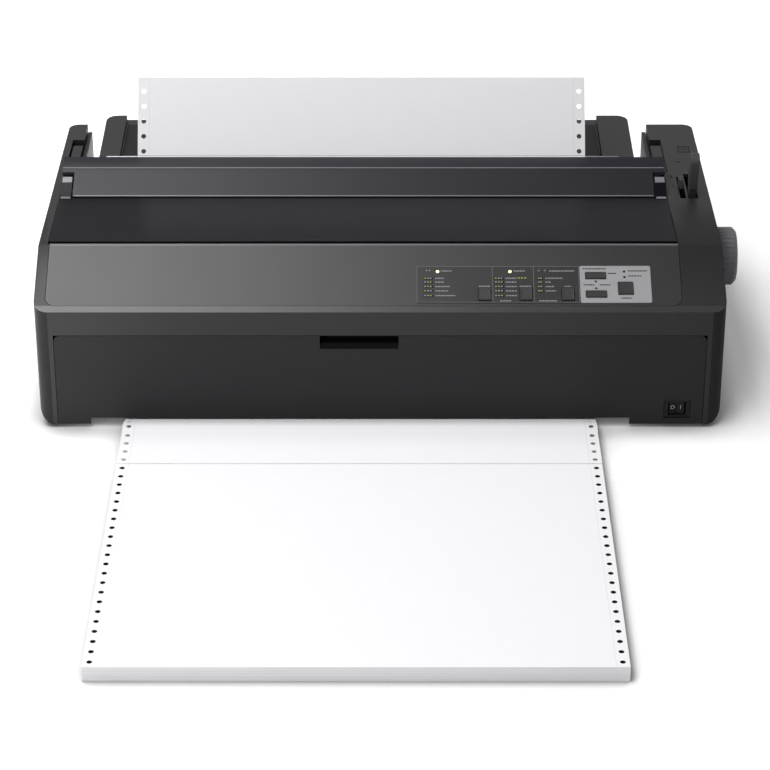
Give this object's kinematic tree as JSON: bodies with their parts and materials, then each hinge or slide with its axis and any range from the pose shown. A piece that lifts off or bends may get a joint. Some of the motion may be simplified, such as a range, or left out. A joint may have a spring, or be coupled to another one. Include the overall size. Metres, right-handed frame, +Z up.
{
  "type": "dot matrix printer",
  "caption": "Wide-carriage dot matrix printer with hinged front cover, smoked window and rear cover, control panel, tractors, platen and fan-fold paper feeding from a stack in front.",
  "frame": {"origin": "on the table, in the middle of the whole set-up seen from above, paper stack and feed knob included", "axes": "+X to the right seen from the front, +Y to the rear of the printer, +Z up; the paper stack lies at -Y"},
  "size_m": [0.566, 0.6878, 0.2056],
  "materials": {
    "case_plastic": "satin",
    "fascia_plastic": "satin",
    "label": "satin",
    "lamp": "gloss",
    "button_plastic": "matt",
    "circuit_board": "satin",
    "black_plastic": "satin",
    "smoked_plastic": "gloss",
    "knob_plastic": "matt",
    "rubber": "matt",
    "sheet_steel": "brushed",
    "steel": "polished",
    "motor_metal": "satin",
    "gear_plastic": "satin",
    "ribbon": "matt",
    "paper": "matt"
  },
  "bodies": {
    "case": {"lower_case": "case_plastic", "upper_case": "case_plastic", "rubber_feet": "rubber", "control_fascia": "fascia_plastic", "panel_plates": "label", "status_lamps": "lamp", "panel_board": "circuit_board", "power_switch": "black_plastic", "frame_left": "sheet_steel", "frame_right": "sheet_steel", "frame_brace": "sheet_steel", "front_rail": "sheet_steel", "guide_shaft": "steel", "carriage_belt": "rubber", "carriage_motor": "motor_metal", "ribbon_cartridge": "black_plastic", "ribbon": "ribbon", "platen_bushes": "gear_plastic", "feed_motor": "motor_metal", "tractor_bar": "steel", "tractor_left": "black_plastic", "tractor_right": "black_plastic", "paper_chutes": "sheet_steel", "lever_pin": "steel", "main_board": "circuit_board", "power_supply": "circuit_board", "mains_inlet": "black_plastic", "screws": "steel", "paper_stack": "paper", "paper_web": "paper"},
    "front_cover": {"front_cover": "case_plastic"},
    "rear_cover": {"rear_cover": "smoked_plastic"},
    "front_window": {"front_window": "smoked_plastic"},
    "paper_end": {"paper_end": "paper"},
    "paper_guide": {"paper_guide": "case_plastic"},
    "edge_guide_left": {"edge_guide_left": "black_plastic"},
    "edge_guide_right": {"edge_guide_right": "black_plastic"},
    "platen": {"platen_roller": "rubber", "platen_shaft": "steel", "platen_gear": "gear_plastic", "platen_knob": "knob_plastic"},
    "idler_gear": {"idler_gear": "gear_plastic"},
    "tractor_shaft": {"tractor_shaft": "steel"},
    "feed_pinion": {"feed_pinion": "steel"},
    "carriage": {"carriage": "black_plastic", "print_head": "motor_metal"},
    "drive_pulley": {"drive_pulley": "steel"},
    "idler_pulley": {"idler_pulley": "steel"},
    "ribbon_knob": {"ribbon_knob": "knob_plastic"},
    "thickness_lever": {"thickness_lever": "knob_plastic"},
    "release_lever": {"release_lever": "knob_plastic"},
    "power_rocker": {"power_rocker": "black_plastic"},
    "tractor_flap_left": {"tractor_flap_left": "black_plastic"},
    "tractor_flap_right": {"tractor_flap_right": "black_plastic"},
    "button_font": {"button_font": "button_plastic"},
    "button_pitch": {"button_pitch": "button_plastic"},
    "button_function": {"button_function": "button_plastic"},
    "button_load": {"button_load": "button_plastic"},
    "button_feed": {"button_feed": "button_plastic"},
    "button_pause": {"button_pause": "button_plastic"}
  },
  "joints": [
    {"name": "front_cover_hinge", "type": "hinge", "parent": "case", "child": "front_cover", "pos_m": [-0.01095, 0.01985, 0.011], "axis": [1, 0, 0], "range_deg": [0, 62]},
    {"name": "rear_cover_hinge", "type": "hinge", "parent": "case", "child": "rear_cover", "pos_m": [-0.01095, 0.27785, 0.122], "axis": [-1, 0, 0], "range_deg": [0, 95]},
    {"name": "front_window_hinge", "type": "hinge", "parent": "rear_cover", "child": "front_window", "pos_m": [-0.01095, 0.18185, 0.1375], "axis": [-1, 0, 0], "range_deg": [0, 110]},
    {"name": "paper_end_bend", "type": "hinge", "parent": "case", "child": "paper_end", "pos_m": [-0.02695, 0.21595, 0.1491], "axis": [-1, 0, 0], "range_deg": [0, 38]},
    {"name": "paper_guide_hinge", "type": "hinge", "parent": "case", "child": "paper_guide", "pos_m": [-0.01095, 0.24785, 0.114], "axis": [1, 0, 0], "range_deg": [0, 28]},
    {"name": "edge_guide_left_slide", "type": "slide", "parent": "paper_guide", "child": "edge_guide_left", "axis": [1, 0, 0], "range_m": [0, 0.06]},
    {"name": "edge_guide_right_slide", "type": "slide", "parent": "paper_guide", "child": "edge_guide_right", "axis": [-1, 0, 0], "range_m": [0, 0.06]},
    {"name": "platen_spin", "type": "hinge", "parent": "case", "child": "platen", "pos_m": [-0.01095, 0.15585, 0.085], "axis": [1, 0, 0], "continuous": true},
    {"name": "idler_gear_spin", "type": "hinge", "parent": "case", "child": "idler_gear", "pos_m": [0.19855, 0.14179, 0.04649], "axis": [1, 0, 0], "continuous": true},
    {"name": "tractor_shaft_spin", "type": "hinge", "parent": "case", "child": "tractor_shaft", "pos_m": [-0.01095, 0.11451, 0.03176], "axis": [1, 0, 0], "continuous": true},
    {"name": "feed_pinion_spin", "type": "hinge", "parent": "case", "child": "feed_pinion", "pos_m": [0.19405, 0.1639, 0.031], "axis": [1, 0, 0], "continuous": true},
    {"name": "carriage_travel", "type": "slide", "parent": "case", "child": "carriage", "axis": [1, 0, 0], "range_m": [0, 0.348]},
    {"name": "drive_pulley_spin", "type": "hinge", "parent": "case", "child": "drive_pulley", "pos_m": [-0.21595, 0.06985, 0.075], "axis": [0, 1, 0], "range_deg": [0, 2495]},
    {"name": "idler_pulley_spin", "type": "hinge", "parent": "case", "child": "idler_pulley", "pos_m": [0.16905, 0.06985, 0.075], "axis": [0, 1, 0], "range_deg": [0, 2495]},
    {"name": "ribbon_knob_spin", "type": "hinge", "parent": "case", "child": "ribbon_knob", "pos_m": [-0.20695, 0.08985, 0.124], "axis": [0, 0, 1], "continuous": true},
    {"name": "thickness_lever_pivot", "type": "hinge", "parent": "case", "child": "thickness_lever", "pos_m": [0.23925, 0.18785, 0.09], "axis": [1, 0, 0], "range_deg": [-11, 30]},
    {"name": "release_lever_pivot", "type": "hinge", "parent": "case", "child": "release_lever", "pos_m": [0.2475, 0.18785, 0.09], "axis": [-1, 0, 0], "range_deg": [0, 38]},
    {"name": "power_rocker_tilt", "type": "hinge", "parent": "case", "child": "power_rocker", "pos_m": [0.22555, 0.02185, 0.01625], "axis": [0, 0, 1], "range_deg": [0, 14]},
    {"name": "tractor_flap_left_hinge", "type": "hinge", "parent": "case", "child": "tractor_flap_left", "pos_m": [-0.2189, 0.09298, 0.03463], "axis": [0, -0.9063, -0.4226], "range_deg": [0, 100]},
    {"name": "tractor_flap_right_hinge", "type": "hinge", "parent": "case", "child": "tractor_flap_right", "pos_m": [0.165, 0.09298, 0.03463], "axis": [0, 0.9063, 0.4226], "range_deg": [0, 100]},
    {"name": "button_font_press", "type": "slide", "parent": "case", "child": "button_font", "axis": [0, 0.4824, -0.8759], "range_m": [0, 0.0012], "stiffness_N_per_m": 150},
    {"name": "button_pitch_press", "type": "slide", "parent": "case", "child": "button_pitch", "axis": [0, 0.4824, -0.8759], "range_m": [0, 0.0012], "stiffness_N_per_m": 150},
    {"name": "button_function_press", "type": "slide", "parent": "case", "child": "button_function", "axis": [0, 0.4824, -0.8759], "range_m": [0, 0.0012], "stiffness_N_per_m": 150},
    {"name": "button_load_press", "type": "slide", "parent": "case", "child": "button_load", "axis": [0, 0.4824, -0.8759], "range_m": [0, 0.0012], "stiffness_N_per_m": 150},
    {"name": "button_feed_press", "type": "slide", "parent": "case", "child": "button_feed", "axis": [0, 0.4824, -0.8759], "range_m": [0, 0.0012], "stiffness_N_per_m": 150},
    {"name": "button_pause_press", "type": "slide", "parent": "case", "child": "button_pause", "axis": [0, 0.4824, -0.8759], "range_m": [0, 0.0012], "stiffness_N_per_m": 150}
  ],
  "couplings": [
    {"joint": "paper_end_bend", "follows": "rear_cover_hinge", "ratio": 0.4},
    {"joint": "idler_gear_spin", "follows": "platen_spin", "ratio": -1.05},
    {"joint": "tractor_shaft_spin", "follows": "platen_spin", "ratio": 1.9091},
    {"joint": "feed_pinion_spin", "follows": "platen_spin", "ratio": 3},
    {"joint": "drive_pulley_spin", "follows": "carriage_travel", "rad_per_m": 125},
    {"joint": "idler_pulley_spin", "follows": "carriage_travel", "rad_per_m": 125}
  ]
}
